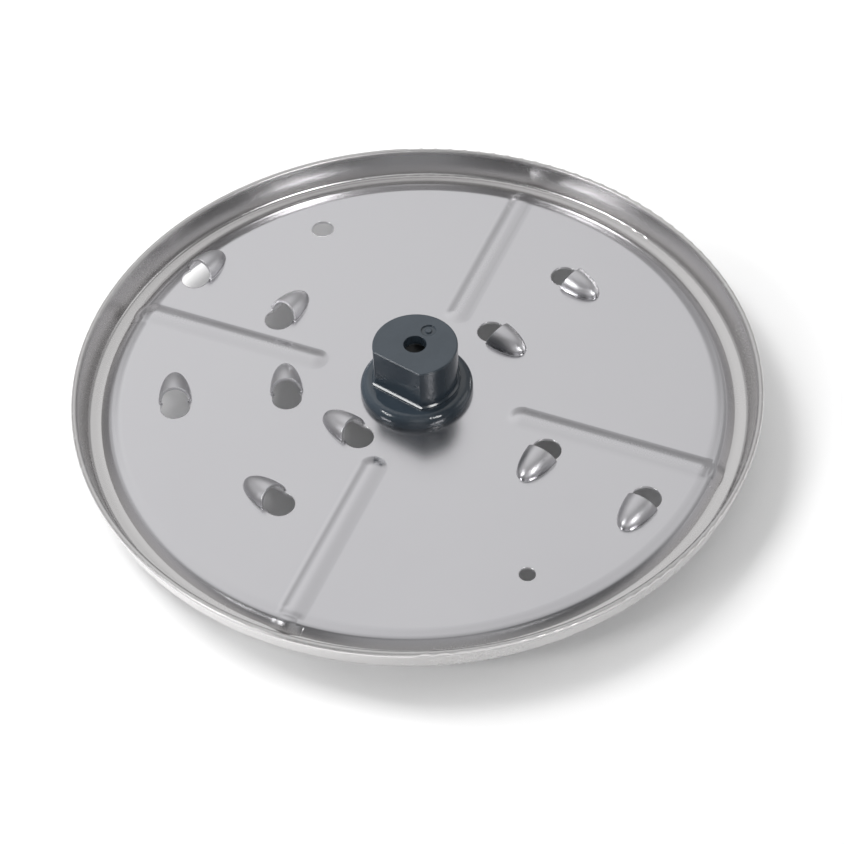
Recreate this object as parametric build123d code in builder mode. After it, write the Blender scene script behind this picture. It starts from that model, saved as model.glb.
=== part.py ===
"""Coarse grating disc for a food processor: a stamped steel plate with a moulded plastic drive hub.

Millimetres and degrees. The disc's axis is Z, the cutting face looks up and Z = 0 is the foot of the
hub, on which the disc stands. Angles run anticlockwise from +X, seen from above.
"""

import os
from math import cos, radians, sin, tan

from build123d import *

# Plate sheet and rim: a raised platform, a sunk ring round it, then a wall whose top folds over outwards
DISC_DIAMETER = 175.0
SHEET = 0.7
FOLD_GAP = 0.2
WALL_LEAN = 14.0
RING_WIDTH = 3.3
RING_DROP = 1.7
SHOULDER_RUN = 2.4
LIP_HEIGHT = 5.85
SKIRT_FOOT_HEIGHT = 0.1
SHOULDER_BEND = 2.5
WALL_BEND = 1.0
FOLD_BEND = 0.75

# Stiffening ribs, pressed upwards; sink and root set a rib's rounded foot into the sheet
RIB_COUNT = 4
FIRST_RIB_ANGLE = 65.8
RIB_WIDTH = 8.6
RIB_HEIGHT = 0.55
RIB_SINK = 0.02
RIB_ROOT = 0.3
RIB_START_RADIUS = 24.5

# Grating teeth: a round hole with a hood raised over its leading edge
TOOTH_HOLE_DIAMETER = 7.4
HOOD_MARGIN = 0.48
HOOD_LENGTH = 9.9
HOOD_WALL = 0.7
HOLE_SETBACK = 1.85
LIP_LEAN = 18.5
TOOTH_HUB_GAP = 3.3
TOOTH_RIM_GAP = 1.05
# Directions of the hole centres; each arm carries one inner and one outer tooth, in this order
TOOTH_ARMS = (226.8, 43.2, 183.1, 323.9, 143.2)
TEETH_PER_ARM = 2

# Two plain round holes, opposite each other and midway between ribs
WIDE_HOLE_DIAMETER = 6.0
NARROW_HOLE_DIAMETER = 4.0
PLAIN_HOLE_RADIUS = 66.0
PLAIN_HOLE_ANGLE = 111.5

# Hub: a D-shaped drive socket sets the D-shaped stub around it
SOCKET_DIAMETER = 16.0
SOCKET_FLAT = 5.0
HUB_WALL = 2.75
FLAT_WALL = 3.0
FLAT_ANGLE = 232.6
STUB_HEIGHT = 16.0
STUB_TOP_WALL = 3.0
PIN_HOLE_DIAMETER = 5.8
CORNER_RADIUS = 0.6
TOP_EDGE = 0.35
PLINTH_STEP = 0.55
PLINTH_HEIGHT = 1.0
FLANGE_WIDTH = 3.65
FLANGE_HEIGHT = 3.6
FLANGE_EDGE = 2.4
COLLAR_WIDTH = 1.75
COLLAR_DEPTH = 8.3
SOCKET_LEAD_IN = 0.6
PLATE_CLEARANCE = 0.1
MARK_RADIUS = 5.85
MARK_DIAMETER = 3.8
MARK_CORE = 1.6
MARK_DEPTH = 0.35

# Heights of the plate's two faces and of the hub's top
plate_under = COLLAR_DEPTH
plate_top = plate_under + SHEET
stub_top = plate_top + STUB_HEIGHT

# Rim corners on the upper face as (radius, height); the folded skirt runs parallel to the wall
rim_radius = DISC_DIAMETER / 2
slope = tan(radians(WALL_LEAN))
fold_width = (2 * SHEET + FOLD_GAP) / cos(radians(WALL_LEAN))
lip_height = plate_top + LIP_HEIGHT
ring_height = plate_top - RING_DROP
skirt_height = plate_top + SKIRT_FOOT_HEIGHT
lip_outside = rim_radius + FOLD_BEND * (tan(radians(45 + WALL_LEAN / 2)) - 1)
lip_inside = lip_outside - fold_width
skirt_foot = lip_outside - slope * (lip_height - skirt_height)
ring_outer = lip_inside - slope * (lip_height - ring_height)
ring_inner = ring_outer - RING_WIDTH
platform_radius = ring_inner - SHOULDER_RUN

# Hub outlines
stub_radius = SOCKET_DIAMETER / 2 + HUB_WALL
stub_flat = SOCKET_FLAT + FLAT_WALL
flange_radius = stub_radius + FLANGE_WIDTH
collar_radius = stub_radius + COLLAR_WIDTH

# Ribs: half the section's width, the centre of the round inner end, and their directions
rib_half = RIB_WIDTH / 2
rib_inner = RIB_START_RADIUS + rib_half
rib_angles = [FIRST_RIB_ANGLE + 360 / RIB_COUNT * turn for turn in range(RIB_COUNT)]

# Tooth places: evenly stepped radii from the hub's flange to the rim
hood_half_width = TOOTH_HOLE_DIAMETER / 2 + HOOD_MARGIN
hollow_half_width = hood_half_width - HOOD_WALL
hollow_length = HOOD_LENGTH - HOOD_WALL
tooth_count = TEETH_PER_ARM * len(TOOTH_ARMS)
first_tooth_radius = flange_radius + TOOTH_HUB_GAP + hood_half_width
last_tooth_radius = platform_radius - TOOTH_RIM_GAP - hood_half_width
tooth_pitch = (last_tooth_radius - first_tooth_radius) / (tooth_count - 1)


def polar_point(radius, angle):
    """The point at this radius and direction."""
    return (radius * cos(radians(angle)), radius * sin(radians(angle)))


def tooth_places():
    """Each tooth's place: the middle of its cutting edge, with X along the hood and Y outwards."""
    places = []
    for turn in range(tooth_count):
        radius = first_tooth_radius + tooth_pitch * turn
        angle = TOOTH_ARMS[turn % len(TOOTH_ARMS)]
        x, y = polar_point(radius, angle)
        ahead = polar_point(HOLE_SETBACK, angle - 90)
        places.append(Location((x + ahead[0], y + ahead[1], plate_top), (0, 0, angle - 90)))
    return places


def d_outline(radius, flat):
    """Circle cut by one flat, which faces the direction FLAT_ANGLE."""
    Circle(radius)
    chord = polar_point(flat, FLAT_ANGLE)
    with Locations(Location(chord, FLAT_ANGLE)):
        Rectangle(radius, 2 * radius, align=(Align.MIN, Align.CENTER), mode=Mode.SUBTRACT)


# Hood, outside and inside: long ellipsoids about the middle of the cutting edge, seams away from the tip
with BuildPart() as hood_outside:
    Sphere(hood_half_width, rotation=(0, 0, 180))
    scale(by=(HOOD_LENGTH / hood_half_width, 1, 1))
with BuildPart() as hood_inside:
    Sphere(hollow_half_width, rotation=(0, 0, 180))
    scale(by=(hollow_length / hollow_half_width, 1, 1))

# Hood shell: what stands over the plate, with its mouth cut on a plane that leans towards the tip
mouth_normal = (cos(radians(LIP_LEAN)), 0, -sin(radians(LIP_LEAN)))
with BuildPart() as hood:
    add(hood_outside.part)
    add(hood_inside.part, mode=Mode.SUBTRACT)
    split(bisect_by=Plane.XY, keep=Keep.TOP)
    split(bisect_by=Plane(origin=(0, 0, 0), z_dir=mouth_normal), keep=Keep.TOP)

# Throat: what a tooth removes from the sheet, the round hole and the hollow under the hood
with BuildPart() as throat:
    with BuildSketch(Plane.XY.offset(-SHEET)):
        Ellipse(hollow_length, hollow_half_width)
        split(bisect_by=Plane.YZ, keep=Keep.TOP)
        with Locations((-HOLE_SETBACK, 0)):
            Circle(TOOTH_HOLE_DIAMETER / 2)
    extrude(amount=SHEET)

# Rib along X over the platform and down its shoulder: two foot arcs and a crown arc that flow together
with BuildPart() as rib:
    with BuildSketch(Plane.YZ.offset(rib_inner)) as bead:
        with BuildLine():
            TangentArc((-rib_half, 0), (-rib_half / 2, RIB_HEIGHT / 2), tangent=(1, 0))
            ThreePointArc((-rib_half / 2, RIB_HEIGHT / 2), (0, RIB_HEIGHT), (rib_half / 2, RIB_HEIGHT / 2))
            TangentArc((rib_half, 0), (rib_half / 2, RIB_HEIGHT / 2), tangent=(-1, 0))
            Polyline((rib_half, 0), (rib_half, -RIB_ROOT), (-rib_half, -RIB_ROOT), (-rib_half, 0))
        make_face()
    with BuildLine(Plane.XZ) as rib_path:
        FilletPolyline((rib_inner, 0), (platform_radius, 0), (ring_inner, -RING_DROP), radius=SHOULDER_BEND)
    sweep(path=rib_path.wires()[0])
    with BuildSketch(Plane.YZ.offset(rib_inner)):
        add(bead.sketch_local)
        split(bisect_by=Plane.YZ, keep=Keep.TOP)
    revolve(axis=Axis((rib_inner, 0, 0), (0, 0, 1)), revolution_arc=180)

# Plate: one turned section with a folded rim, then ribs, teeth, plain holes and the hub's D-shaped hole
with BuildPart() as grating_plate:
    with BuildSketch(Plane.XZ) as section:
        with BuildLine():
            Polyline(
                (0, plate_top),
                (platform_radius, plate_top),
                (ring_inner, ring_height),
                (ring_outer, ring_height),
                (lip_inside, lip_height),
                (lip_outside, lip_height),
                (skirt_foot, skirt_height),
            )
            offset(amount=SHEET, side=Side.RIGHT, kind=Kind.INTERSECTION)
        make_face()
        for corner, bend in (
            ((platform_radius, plate_top), SHOULDER_BEND),
            ((ring_outer, ring_height), WALL_BEND),
            ((lip_inside, lip_height), FOLD_BEND),
            ((lip_outside, lip_height), FOLD_BEND),
        ):
            fillet(section.vertices().sort_by_distance(corner)[0], radius=bend)
    revolve(axis=Axis.Z)
    for angle in rib_angles:
        with Locations(Location((0, 0, plate_top - RIB_SINK), (0, 0, angle))):
            add(rib.part)
        with Locations(Location((0, 0, plate_under - RIB_SINK), (0, 0, angle))):
            add(rib.part, mode=Mode.SUBTRACT)
    with Locations(*tooth_places()):
        add(throat.part, mode=Mode.SUBTRACT)
        add(hood.part)
    with BuildSketch(Plane.XY.offset(plate_under)):
        d_outline(stub_radius + PLATE_CLEARANCE, stub_flat + PLATE_CLEARANCE)
        with Locations(polar_point(PLAIN_HOLE_RADIUS, PLAIN_HOLE_ANGLE)):
            Circle(WIDE_HOLE_DIAMETER / 2)
        with Locations(polar_point(PLAIN_HOLE_RADIUS, PLAIN_HOLE_ANGLE + 180)):
            Circle(NARROW_HOLE_DIAMETER / 2)
    extrude(amount=SHEET, mode=Mode.SUBTRACT)
grating_plate.part.label = "grating_plate"

# Hub: moulded through the plate's hole, with a flange above the sheet and a collar below it
with BuildPart() as drive_hub:
    with BuildSketch():
        Circle(collar_radius)
    extrude(amount=COLLAR_DEPTH)
    with BuildSketch():
        d_outline(stub_radius, stub_flat)
    extrude(amount=stub_top)
    stub_corners = drive_hub.edges().filter_by(Axis.Z).sort_by(SortBy.LENGTH)[-2:]
    fillet(stub_corners, radius=CORNER_RADIUS)
    fillet(drive_hub.faces().sort_by(Axis.Z)[-1].edges(), radius=TOP_EDGE)
    with BuildSketch(Plane.XY.offset(plate_top)):
        d_outline(stub_radius + PLINTH_STEP, stub_flat + PLINTH_STEP)
    extrude(amount=FLANGE_HEIGHT + PLINTH_HEIGHT)
    with BuildSketch(Plane.XY.offset(plate_top)):
        Circle(flange_radius)
    extrude(amount=FLANGE_HEIGHT)
    flange_rim = drive_hub.edges().filter_by(GeomType.CIRCLE).filter_by(
        lambda edge: abs(edge.radius - flange_radius) < 1e-6
    )
    fillet(flange_rim.sort_by(Axis.Z)[-1], radius=FLANGE_EDGE)
    with BuildSketch():
        d_outline(SOCKET_DIAMETER / 2, SOCKET_FLAT)
    extrude(amount=stub_top - STUB_TOP_WALL, mode=Mode.SUBTRACT)
    socket_mouth = drive_hub.faces().sort_by(Axis.Z)[0].inner_wires()[0].edges()
    chamfer(socket_mouth, length=SOCKET_LEAD_IN)
    with BuildSketch(Plane.XY.offset(stub_top)):
        Circle(PIN_HOLE_DIAMETER / 2)
    extrude(amount=-STUB_TOP_WALL, mode=Mode.SUBTRACT)
    with BuildSketch(Plane.XY.offset(stub_top)):
        with Locations(polar_point(MARK_RADIUS, FLAT_ANGLE + 180)):
            Circle(MARK_DIAMETER / 2)
            Circle(MARK_CORE / 2, mode=Mode.SUBTRACT)
    extrude(amount=-MARK_DEPTH, mode=Mode.SUBTRACT)
drive_hub.part.label = "drive_hub"

os.makedirs("parts", exist_ok=True)
export_step(grating_plate.part, "parts/grating_plate.step")
export_step(drive_hub.part, "parts/drive_hub.step")
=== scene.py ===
"""Satin steel grating disc with a dark moulded hub, on a pale floor under soft studio light.

Lengths are in metres. The disc's axis is Z, its cutting face looks up and the hub's foot is at Z = 0.
"""

from math import cos, radians, sin

import bpy
from mathutils import Matrix, Vector

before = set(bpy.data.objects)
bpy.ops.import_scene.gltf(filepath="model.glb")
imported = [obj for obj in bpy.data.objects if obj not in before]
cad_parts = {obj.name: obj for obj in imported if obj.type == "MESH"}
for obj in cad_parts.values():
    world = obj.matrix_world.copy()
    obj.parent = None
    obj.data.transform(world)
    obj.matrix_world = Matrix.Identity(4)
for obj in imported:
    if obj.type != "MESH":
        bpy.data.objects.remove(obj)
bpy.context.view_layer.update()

# Camera, fitted to the photograph and aimed at a point of the plate's top
PHOTO_PIXELS = 844
CAMERA_DISTANCE = 0.5036
CAMERA_ELEVATION = radians(48.04)
CAMERA_ROLL = radians(-2.44)
CAMERA_FOCAL_PIXELS = 1998.55
CAMERA_SENSOR_MILLIMETRES = 36.0
CAMERA_CLOSEST_VIEW = 0.01
PLATE_TOP = 0.0090
CAMERA_AIM = Vector((0.00093, -0.01187, PLATE_TOP))

# Edges and noises of both materials
EDGE_ROUNDING = 0.0003
EDGE_SAMPLES = 6
NOISE_RANGE = (0.3, 0.7)

# Rolled bends of the rim, in the terms of bend_normal
BEND_SLACK = 0.00022
SHOULDER_BEND = {"centre": (0.077682, 0.077682, 0.0065), "bend": 0.0025, "hollow": False,
                 "least_rise": 0.816}
WALL_BEND = {"centre": (0.083397, 0.083397, 0.0083), "bend": 0.0010, "hollow": True,
             "least_rise": 0.242}
LIP_FOLD = {"centre": (0.086647, 0.086750, 0.0141), "bend": 0.00075, "hollow": False,
            "least_rise": 0.242, "two_sided": True}

# Ribs: four, square to each other, with the radii between which they start and end
FIRST_RIB_ANGLE = radians(65.8)
RIB_HALF_WIDTH = 0.0043
RIB_START_RADII = (0.0245, 0.0290)
RIB_END_RADII = (0.0750, 0.0785)

# Zones of the plate, as the radii or heights between which each fades in or out
RIM_RADII = (0.0790, 0.0812)
LIP_HEIGHTS = (0.0136, 0.0142)
HOOD_HEIGHTS = (0.0093, 0.0103)
HOODS_END_RADII = (0.0770, 0.0780)
ROLL_OFF_RADII = (0.0754, 0.0786)
VALLEY_RADII = (0.0813, 0.0842)

# Reliefs of the plate
RIB_RELIEF = {"strength": 1.0, "depth": 0.00026}
ROLL_OFF_RELIEF = {"strength": 1.0, "depth": 0.0005}
VALLEY_RELIEF = {"strength": 1.0, "depth": 0.0004}
SMEAR_RELIEF = {"strength": 0.20, "depth": 0.0004}
STREAK_RELIEF = {"strength": 0.10, "depth": 0.00006}
STEEL_GRAIN_RELIEF = {"strength": 0.05, "depth": 0.00004}

# Colours and noises of the steel
STEEL_DARK = (0.590, 0.585, 0.606, 1)
STEEL_LIGHT = (0.615, 0.610, 0.630, 1)
STEEL_RIM = (0.610, 0.600, 0.600, 1)
STEEL_RUBBED = (0.70, 0.70, 0.70, 1)
STEEL_SMEAR = {"scale": 24.0, "detail": 4.0, "rough": 0.55}
STEEL_GRAIN = {"scale": 2600.0, "detail": 2.0, "rough": 0.6}
RIM_STREAK = {"scale": 3800.0, "detail": 3.0, "rough": 0.6}
RIM_STREAK_PER_RADIAN = 0.004
LIP_RUB = {"scale": 420.0, "detail": 3.0, "rough": 0.7}
LIP_RUB_RANGE = (0.54, 0.74)

# Roughness of the satin plate, and what grain, rubbed spots, rim, lip and hoods add to it
SATIN_ROUGHNESS = (0.19, 0.25)
GRAIN_ROUGHNESS = (-0.015, 0.015)
RUBBED_ROUGHNESS = 0.08
RIM_ROUGHNESS = 0.04
LIP_ROUGHNESS = 0.12
HOOD_ROUGHNESS = 0.16

# Plinth of the hub: its D-shaped outline, its top, and the width and slope of its broken edge
FLAT_ANGLE = radians(232.6)
PLINTH_FLAT = 0.00855
PLINTH_RADIUS = 0.01130
PLINTH_TOP = 0.01360
EDGE_BREAK = 0.00035
EDGE_BREAK_RISE = radians(44)
EDGE_BREAK_SLACK = 0.00002

# Plastic of the hub, with a grain that is stronger on the flange than on the stub
PLASTIC_DARK = (0.024, 0.034, 0.045, 1)
PLASTIC_LIGHT = (0.030, 0.041, 0.053, 1)
PLASTIC_IOR = 1.6
PLASTIC_ROUGHNESS = (0.12, 0.18)
PLASTIC_PATCH = {"scale": 130.0, "detail": 3.0, "rough": 0.55}
PLASTIC_PATCH_RANGE = (0.35, 0.65)
PLASTIC_GRAIN = {"scale": 1250.0, "detail": 1.0, "rough": 0.5}
PLASTIC_GRAIN_DEPTH = 0.00012
FLANGE_TOP_HEIGHTS = (0.0122, 0.0130)
FLANGE_TO_STUB_GRAIN = (0.55, 0.18)

# Floor, with the white that the camera and reflections see on top of its own light
FLOOR_REACH = 3.0
PAPER_WHITE = (0.86, 0.86, 0.86, 1)
PAPER_ROUGHNESS = 0.9
PAPER_SHEEN = 0.1
SEEN_LIFT = 0.05
MIRRORED_LIFT = 0.28
HALF_A_BOUNCE = 0.5

# Dome, with a level that changes with height behind the disc and stays the same in front of it
LOW_BACK_HEIGHTS = (0.0, 0.36)
LOW_BACK_LEVELS = (0.16, 0.42)
HIGH_BACK_HEIGHTS = (0.64, 0.88)
HIGH_BACK_LEVELS = (0.42, 0.32)
FRONT_LEVEL = 0.14
FRONT_TO_BACK = (-0.25, 0.25)

# Cards in the dome: azimuth, elevation, inner angle and outer angle in degrees, and level
CARDS = {
    "back_panel": (94, 66, 30, 39, 0.435),
    "back_left_glow": (140, 38, 10, 58, 0.17),
    "front_right_box": (-53, 35, 6, 10, 13.0),
    "front_left_box": (-154, 32, 6, 10, 13.0),
    "front_low_card": (-92, 22, 10, 20, 0.70),
    "front_high_card": (-90, 52, 12, 28, 0.28),
    "right_card": (4, 18, 10, 22, 0.80),
}

# Lamps behind the disc at the left, one high and one low
KEY_BOX = {"place": (-0.62, 0.36, 0.95), "size": 0.5, "power": 8.2}
LOW_BOX = {"place": (-1.08, 0.50, 0.20), "size": 0.3, "power": 12.0}


def point_camera():
    """Stands the camera in front of the disc, looking back and down, rolled about its own axis."""
    forward = Vector((0, cos(CAMERA_ELEVATION), -sin(CAMERA_ELEVATION)))
    right = Vector((1, 0, 0))
    up = right.cross(forward)
    rolled_right = cos(CAMERA_ROLL) * right + sin(CAMERA_ROLL) * up
    rolled_up = cos(CAMERA_ROLL) * up - sin(CAMERA_ROLL) * right
    turn = Matrix((rolled_right, rolled_up, -forward)).transposed().to_4x4()
    data = bpy.data.cameras.new("studio_camera")
    data.sensor_fit = "HORIZONTAL"
    data.sensor_width = CAMERA_SENSOR_MILLIMETRES
    data.lens = CAMERA_FOCAL_PIXELS / PHOTO_PIXELS * CAMERA_SENSOR_MILLIMETRES
    data.clip_start = CAMERA_CLOSEST_VIEW
    camera = bpy.data.objects.new("studio_camera", data)
    camera.matrix_world = Matrix.Translation(CAMERA_AIM - CAMERA_DISTANCE * forward) @ turn
    bpy.context.scene.collection.objects.link(camera)
    bpy.context.scene.camera = camera


class NodeKit:
    """A node tree, with short calls that add a node and wire its inputs."""

    def __init__(self, tree, coordinates):
        self.tree = tree
        self.place = tree.nodes.new("ShaderNodeTexCoord").outputs[coordinates]

    def node(self, kind, settings=None, **inputs):
        """Adds a node, sets its properties, then sets or links each input named by label or number."""
        node = self.tree.nodes.new(kind)
        for key, value in (settings or {}).items():
            setattr(node, key, value)
        for key, value in inputs.items():
            socket = node.inputs[int(key[1:])] if key[0] == "_" else node.inputs[key.replace("_", " ")]
            self.feed(socket, value)
        return node

    def feed(self, socket, value):
        """Links an output to a socket, or writes a constant on it."""
        if isinstance(value, bpy.types.NodeSocket):
            self.tree.links.new(value, socket)
        else:
            socket.default_value = value

    def step(self, kind, operation, values):
        """Adds a node for one operation on values, given in the order of its inputs."""
        inputs = {f"_{order}": value for order, value in enumerate(values)}
        return self.node(kind, {"operation": operation}, **inputs).outputs

    def maths(self, operation, *numbers):
        """One step on numbers."""
        return self.step("ShaderNodeMath", operation, numbers)[0]

    def vector(self, operation, *vectors):
        """One step on vectors that gives a vector."""
        return self.step("ShaderNodeVectorMath", operation, vectors)["Vector"]

    def measure(self, operation, *vectors):
        """One step on vectors that gives a number."""
        return self.step("ShaderNodeVectorMath", operation, vectors)["Value"]

    def scaled(self, vector, factor):
        """A vector times a number."""
        node = self.node("ShaderNodeVectorMath", {"operation": "SCALE"}, _0=vector, Scale=factor)
        return node.outputs["Vector"]

    def spread(self, value, zone, ends=(0.0, 1.0), smooth=False):
        """Maps a zone of the value to the two ends, straight or with a smooth step, and clamps outside."""
        kind = "SMOOTHSTEP" if smooth else "LINEAR"
        node = self.node("ShaderNodeMapRange", {"interpolation_type": kind, "clamp": True},
                         _0=value, _1=zone[0], _2=zone[1], _3=ends[0], _4=ends[1])
        return node.outputs[0]

    def axes(self):
        """X, Y and Z of the place."""
        return self.node("ShaderNodeSeparateXYZ", Vector=self.place).outputs


class Finish(NodeKit):
    """A material on the object's own coordinates."""

    def __init__(self, name):
        self.material = bpy.data.materials.new(name)
        self.material.use_nodes = True
        self.shader = self.material.node_tree.nodes["Principled BSDF"]
        super().__init__(self.material.node_tree, "Object")

    def shade(self, **inputs):
        """Sets or links inputs of the shader, named by label."""
        for key, value in inputs.items():
            self.feed(self.shader.inputs[key.replace("_", " ")], value)

    def around_axis(self):
        """Distance from the disc's axis, and the direction straight away from it."""
        level = self.vector("MULTIPLY", self.place, (1.0, 1.0, 0.0))
        return self.measure("LENGTH", level), self.vector("NORMALIZE", level)

    def noise(self, scale, detail, rough, place=None):
        """Cloudy noise from 0 to 1, with scale in blobs per metre."""
        node = self.node("ShaderNodeTexNoise", Vector=place or self.place,
                         Scale=scale, Detail=detail, Roughness=rough)
        return node.outputs["Fac"]

    def blend(self, factor, first, second):
        """Colour between first and second."""
        return self.node("ShaderNodeMix", {"data_type": "RGBA"}, _0=factor, _6=first, _7=second).outputs[2]

    def choose(self, holds, otherwise, direction):
        """The direction where it holds, and elsewhere the other one."""
        node = self.node("ShaderNodeMix", {"data_type": "VECTOR"}, _0=holds, _4=otherwise, _5=direction)
        return node.outputs[1]

    def rounded_edges(self):
        """Normal that rounds sharp edges."""
        return self.node("ShaderNodeBevel", {"samples": EDGE_SAMPLES}, Radius=EDGE_ROUNDING).outputs[0]

    def bump(self, normal, height, strength, depth):
        """The normal tilted by a relief: its height runs from 0 to 1, and its depth is in metres."""
        node = self.node("ShaderNodeBump", Strength=strength, Distance=depth, Height=height, Normal=normal)
        return node.outputs["Normal"]


def bend_normal(steel, radius, outward, height, centre, bend, hollow, least_rise, two_sided=False):
    """Smooth normal of a rolled bend, and 1 where it holds.

    The normal points from the nearest point of the bend's centre circle to the surface, and in a hollow bend
    the other way. The circle's radius lies between the first two numbers of centre, and its height is the
    third. The normal holds where the surface is within BEND_SLACK of the bend's own radius from the circle,
    lies outside the circle and has a normal that rises more than least_rise. A bend with two sides holds on
    both sides of its circle, and on the outer side down to a normal that falls as much.
    """
    nearest = steel.maths("MINIMUM", steel.maths("MAXIMUM", radius, centre[0]), centre[1])
    away = steel.maths("SUBTRACT", radius, nearest)
    over = steel.maths("SUBTRACT", height, centre[2])
    squares = steel.maths("ADD", steel.maths("MULTIPLY", away, away), steel.maths("MULTIPLY", over, over))
    reach = steel.maths("SQRT", squares)
    holds = steel.maths("COMPARE", reach, bend, BEND_SLACK)
    signed_reach = steel.maths("MULTIPLY", reach, -1.0 if hollow else 1.0)
    rise = steel.maths("DIVIDE", over, signed_reach)
    lean = steel.maths("DIVIDE", away, signed_reach)
    if two_sided:
        least_rise = steel.spread(away, (-BEND_SLACK, BEND_SLACK), (least_rise, -least_rise))
    else:
        holds = steel.maths("MULTIPLY", holds, steel.maths("GREATER_THAN", away, 0.0))
    holds = steel.maths("MULTIPLY", holds, steel.maths("GREATER_THAN", rise, least_rise))
    upward = steel.node("ShaderNodeCombineXYZ", Z=rise).outputs[0]
    return steel.vector("ADD", steel.scaled(outward, lean), upward), holds


def formed_normal(steel, radius, outward, height, reliefs):
    """Normal of the formed sheet: rounded edges, then the rolled bends, then one relief on top of another."""
    normal = steel.rounded_edges()
    for bend in (SHOULDER_BEND, WALL_BEND, LIP_FOLD):
        smooth, holds = bend_normal(steel, radius, outward, height, **bend)
        normal = steel.choose(holds, normal, smooth)
    for relief_height, relief in reliefs:
        normal = steel.bump(normal, relief_height, **relief)
    return normal


def rib_height(steel, radius):
    """Height of the ribs' relief: 1 on a crest, with a smooth step down to 0 at the feet and at both ends.

    The ribs lie on two lines that cross on the axis, so the distance across a rib is the smaller of the
    distances from the two lines.
    """
    first_way = (cos(FIRST_RIB_ANGLE), sin(FIRST_RIB_ANGLE), 0.0)
    second_way = (-sin(FIRST_RIB_ANGLE), cos(FIRST_RIB_ANGLE), 0.0)
    offsets = [steel.maths("ABSOLUTE", steel.measure("DOT_PRODUCT", steel.place, way))
               for way in (first_way, second_way)]
    across = steel.maths("MINIMUM", *offsets)
    crest = steel.spread(across, (0.0, RIB_HALF_WIDTH), (1.0, 0.0), smooth=True)
    started = steel.maths("MULTIPLY", crest, steel.spread(radius, RIB_START_RADII, smooth=True))
    return steel.maths("MULTIPLY", started, steel.spread(radius, RIB_END_RADII, (1.0, 0.0), smooth=True))


def rim_streaks(steel, axes, radius, rim):
    """Fine streaks along the round of the rim: noise on radius, height and a slowly changing angle."""
    angle = steel.maths("ARCTAN2", axes["Y"], axes["X"])
    slow_angle = steel.maths("MULTIPLY", angle, RIM_STREAK_PER_RADIAN)
    round_place = steel.node("ShaderNodeCombineXYZ", X=radius, Y=axes["Z"], Z=slow_angle).outputs[0]
    return steel.maths("MULTIPLY", steel.noise(**RIM_STREAK, place=round_place), rim)


def satin_steel():
    """Stamped stainless sheet: satin plate, a rim brushed along its round, and a lip with rubbed spots."""
    steel = Finish("satin_steel")
    axes = steel.axes()
    radius, outward = steel.around_axis()
    rim = steel.spread(radius, RIM_RADII, smooth=True)
    lip = steel.spread(axes["Z"], LIP_HEIGHTS, smooth=True)
    hood = steel.maths("MULTIPLY", steel.spread(axes["Z"], HOOD_HEIGHTS),
                       steel.spread(radius, HOODS_END_RADII, (1.0, 0.0)))
    smear = steel.noise(**STEEL_SMEAR)
    grain = steel.noise(**STEEL_GRAIN)
    spots = steel.spread(steel.noise(**LIP_RUB), LIP_RUB_RANGE, smooth=True)
    rubbed = steel.maths("MULTIPLY", spots, lip)

    tone = steel.blend(steel.spread(smear, NOISE_RANGE), STEEL_DARK, STEEL_LIGHT)
    tone = steel.blend(rim, tone, STEEL_RIM)
    tone = steel.blend(rubbed, tone, STEEL_RUBBED)

    rough = steel.spread(smear, NOISE_RANGE, SATIN_ROUGHNESS)
    rough = steel.maths("ADD", rough, steel.spread(grain, NOISE_RANGE, GRAIN_ROUGHNESS))
    added = ((rubbed, RUBBED_ROUGHNESS), (rim, RIM_ROUGHNESS), (lip, LIP_ROUGHNESS), (hood, HOOD_ROUGHNESS))
    for zone, amount in added:
        rough = steel.maths("ADD", rough, steel.maths("MULTIPLY", zone, amount))

    normal = formed_normal(steel, radius, outward, axes["Z"], (
        (rib_height(steel, radius), RIB_RELIEF),
        (steel.spread(radius, ROLL_OFF_RADII, (1.0, 0.0), smooth=True), ROLL_OFF_RELIEF),
        (steel.spread(radius, VALLEY_RADII, smooth=True), VALLEY_RELIEF),
        (smear, SMEAR_RELIEF),
        (rim_streaks(steel, axes, radius, rim), STREAK_RELIEF),
        (grain, STEEL_GRAIN_RELIEF),
    ))
    steel.shade(Base_Color=tone, Roughness=rough, Metallic=1.0, Normal=normal)
    return steel.material


def plinth_edge(plastic, height):
    """Normal of the broken edge round the plinth's top, and 1 where it holds.

    The normal leans out from the plinth's flat, or from the axis on its round side, by the cosine of
    EDGE_BREAK_RISE and rises by its sine. It holds within EDGE_BREAK of the edge, on the top and on the side.
    """
    flat_way = (cos(FLAT_ANGLE), sin(FLAT_ANGLE), 0.0)
    radius, outward = plastic.around_axis()
    flat_distance = plastic.measure("DOT_PRODUCT", plastic.place, flat_way)
    on_flat = plastic.maths("GREATER_THAN", flat_distance, PLINTH_FLAT - EDGE_BREAK)
    on_round = plastic.maths("GREATER_THAN", radius, PLINTH_RADIUS - EDGE_BREAK)
    half_break = EDGE_BREAK / 2
    near_top = plastic.maths("COMPARE", height, PLINTH_TOP - half_break, half_break + EDGE_BREAK_SLACK)
    holds = plastic.maths("MULTIPLY", plastic.maths("MAXIMUM", on_flat, on_round), near_top)
    lean = plastic.scaled(plastic.choose(on_flat, outward, flat_way), cos(EDGE_BREAK_RISE))
    return plastic.vector("ADD", lean, (0.0, 0.0, sin(EDGE_BREAK_RISE))), holds


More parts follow.
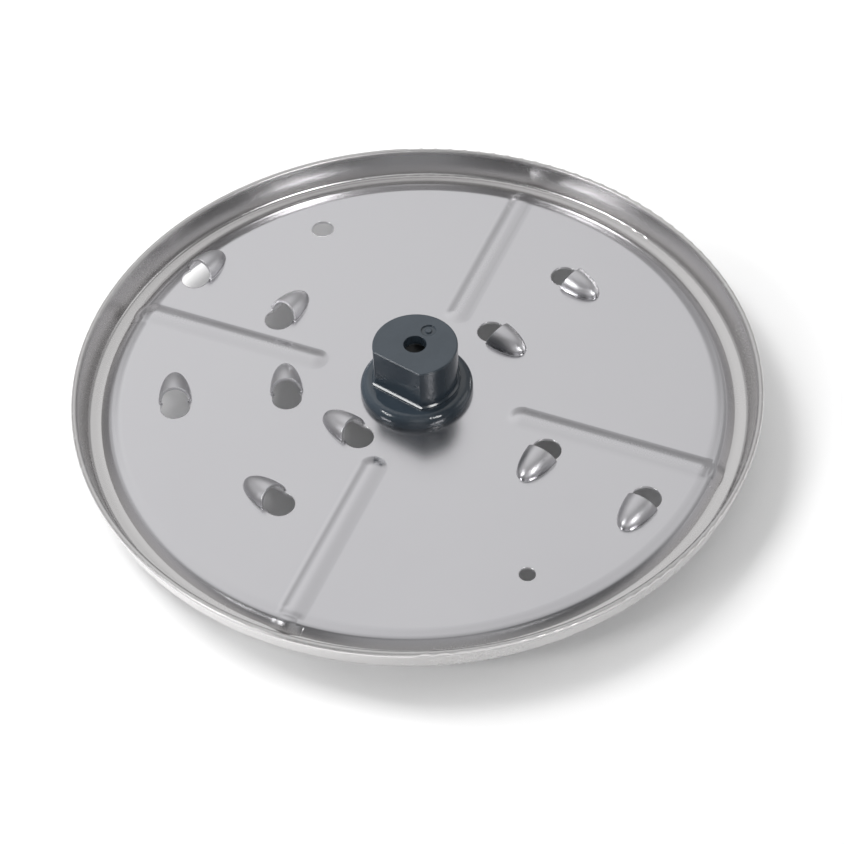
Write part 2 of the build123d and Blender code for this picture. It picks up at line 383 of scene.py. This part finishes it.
def moulded_plastic():
    """Dark blue-grey moulding: spark-eroded grain, softened edges and slightly polished patches."""
    plastic = Finish("moulded_plastic")
    height = plastic.axes()["Z"]
    patch = plastic.noise(**PLASTIC_PATCH)
    tone = plastic.blend(plastic.spread(patch, PLASTIC_PATCH_RANGE), PLASTIC_DARK, PLASTIC_LIGHT)
    rough = plastic.spread(patch, NOISE_RANGE, PLASTIC_ROUGHNESS)
    etched = plastic.spread(height, FLANGE_TOP_HEIGHTS, FLANGE_TO_STUB_GRAIN)
    grain = plastic.noise(**PLASTIC_GRAIN)
    skin = plastic.bump(plastic.rounded_edges(), grain, etched, PLASTIC_GRAIN_DEPTH)
    broken, holds = plinth_edge(plastic, height)
    normal = plastic.choose(holds, skin, broken)
    plastic.shade(Base_Color=tone, Roughness=rough, IOR=PLASTIC_IOR, Normal=normal)
    return plastic.material


def studio_floor():
    """Pale floor whose white shows to the camera and in reflections, and which keeps the disc's shadow.

    A reflection sees the white only on a path that has not met a matt surface yet, so that the metal throws
    none of it on to the floor.
    """
    mesh = bpy.data.meshes.new("studio_floor")
    corners = [(x * FLOOR_REACH, y * FLOOR_REACH, 0) for x, y in ((-1, -1), (1, -1), (1, 1), (-1, 1))]
    mesh.from_pydata(corners, [], [(0, 1, 2, 3)])
    floor = bpy.data.objects.new("studio_floor", mesh)
    bpy.context.scene.collection.objects.link(floor)
    paper = Finish("studio_paper")
    rays = paper.tree.nodes.new("ShaderNodeLightPath").outputs
    looked_at = paper.maths("MAXIMUM", rays["Is Camera Ray"], rays["Is Transmission Ray"])
    unscattered = paper.maths("LESS_THAN", rays["Diffuse Depth"], HALF_A_BOUNCE)
    mirrored = paper.maths("MULTIPLY", rays["Is Glossy Ray"], unscattered)
    lift = paper.maths("MAXIMUM", paper.maths("MULTIPLY", looked_at, SEEN_LIFT),
                       paper.maths("MULTIPLY", mirrored, MIRRORED_LIFT))
    paper.shade(Base_Color=PAPER_WHITE, Roughness=PAPER_ROUGHNESS, Specular_IOR_Level=PAPER_SHEEN,
                Emission_Color=(1, 1, 1, 1), Emission_Strength=lift)
    floor.data.materials.append(paper.material)


def dome_card(dome, azimuth, elevation, inner, outer, level):
    """Round patch of light: full within the inner angle of its middle, gone at the outer angle."""
    turn, rise = radians(azimuth), radians(elevation)
    middle = (cos(turn) * cos(rise), sin(turn) * cos(rise), sin(rise))
    facing = dome.measure("DOT_PRODUCT", dome.place, middle)
    return dome.spread(facing, (cos(radians(outer)), cos(radians(inner))), (0.0, level), smooth=True)


def studio_dome():
    """Light by direction: a wide panel behind, dim low walls, soft boxes and cards; white to the camera."""
    world = bpy.data.worlds.new("studio_dome")
    bpy.context.scene.world = world
    world.use_nodes = True
    dome = NodeKit(world.node_tree, "Generated")
    axes = dome.axes()
    low_back = dome.spread(axes["Z"], LOW_BACK_HEIGHTS, LOW_BACK_LEVELS, smooth=True)
    high_back = dome.spread(axes["Z"], HIGH_BACK_HEIGHTS, HIGH_BACK_LEVELS)
    behind = dome.maths("MULTIPLY", dome.maths("MINIMUM", low_back, high_back),
                        dome.spread(axes["Y"], FRONT_TO_BACK, smooth=True))
    in_front = dome.spread(axes["Y"], FRONT_TO_BACK, (FRONT_LEVEL, 0.0), smooth=True)
    level = dome.maths("ADD", behind, in_front)
    for card in CARDS.values():
        level = dome.maths("ADD", level, dome_card(dome, *card))
    rays = dome.tree.nodes.new("ShaderNodeLightPath").outputs
    background = dome.tree.nodes["Background"]
    background.inputs["Color"].default_value = (1, 1, 1, 1)
    dome.feed(background.inputs["Strength"], dome.maths("MAXIMUM", level, rays["Is Camera Ray"]))


def soft_box(name, place, size, power):
    """Square area lamp that faces the hub's foot and leaves no image of itself in the metal."""
    data = bpy.data.lights.new(name, "AREA")
    data.size = size
    data.energy = power
    lamp = bpy.data.objects.new(name, data)
    lamp.visible_glossy = False
    way = -Vector(place)
    lamp.matrix_world = Matrix.Translation(place) @ way.to_track_quat("-Z", "Y").to_matrix().to_4x4()
    bpy.context.scene.collection.objects.link(lamp)


def dress(node, finish):
    """Gives a CAD node its finish as its only material."""
    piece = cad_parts[node]
    piece.data.materials.clear()
    piece.data.materials.append(finish)


point_camera()
dress("grating_plate", satin_steel())
dress("drive_hub", moulded_plastic())
studio_floor()
studio_dome()
soft_box("key_box", **KEY_BOX)
soft_box("low_box", **LOW_BOX)

bpy.context.scene.view_settings.view_transform = "Standard"
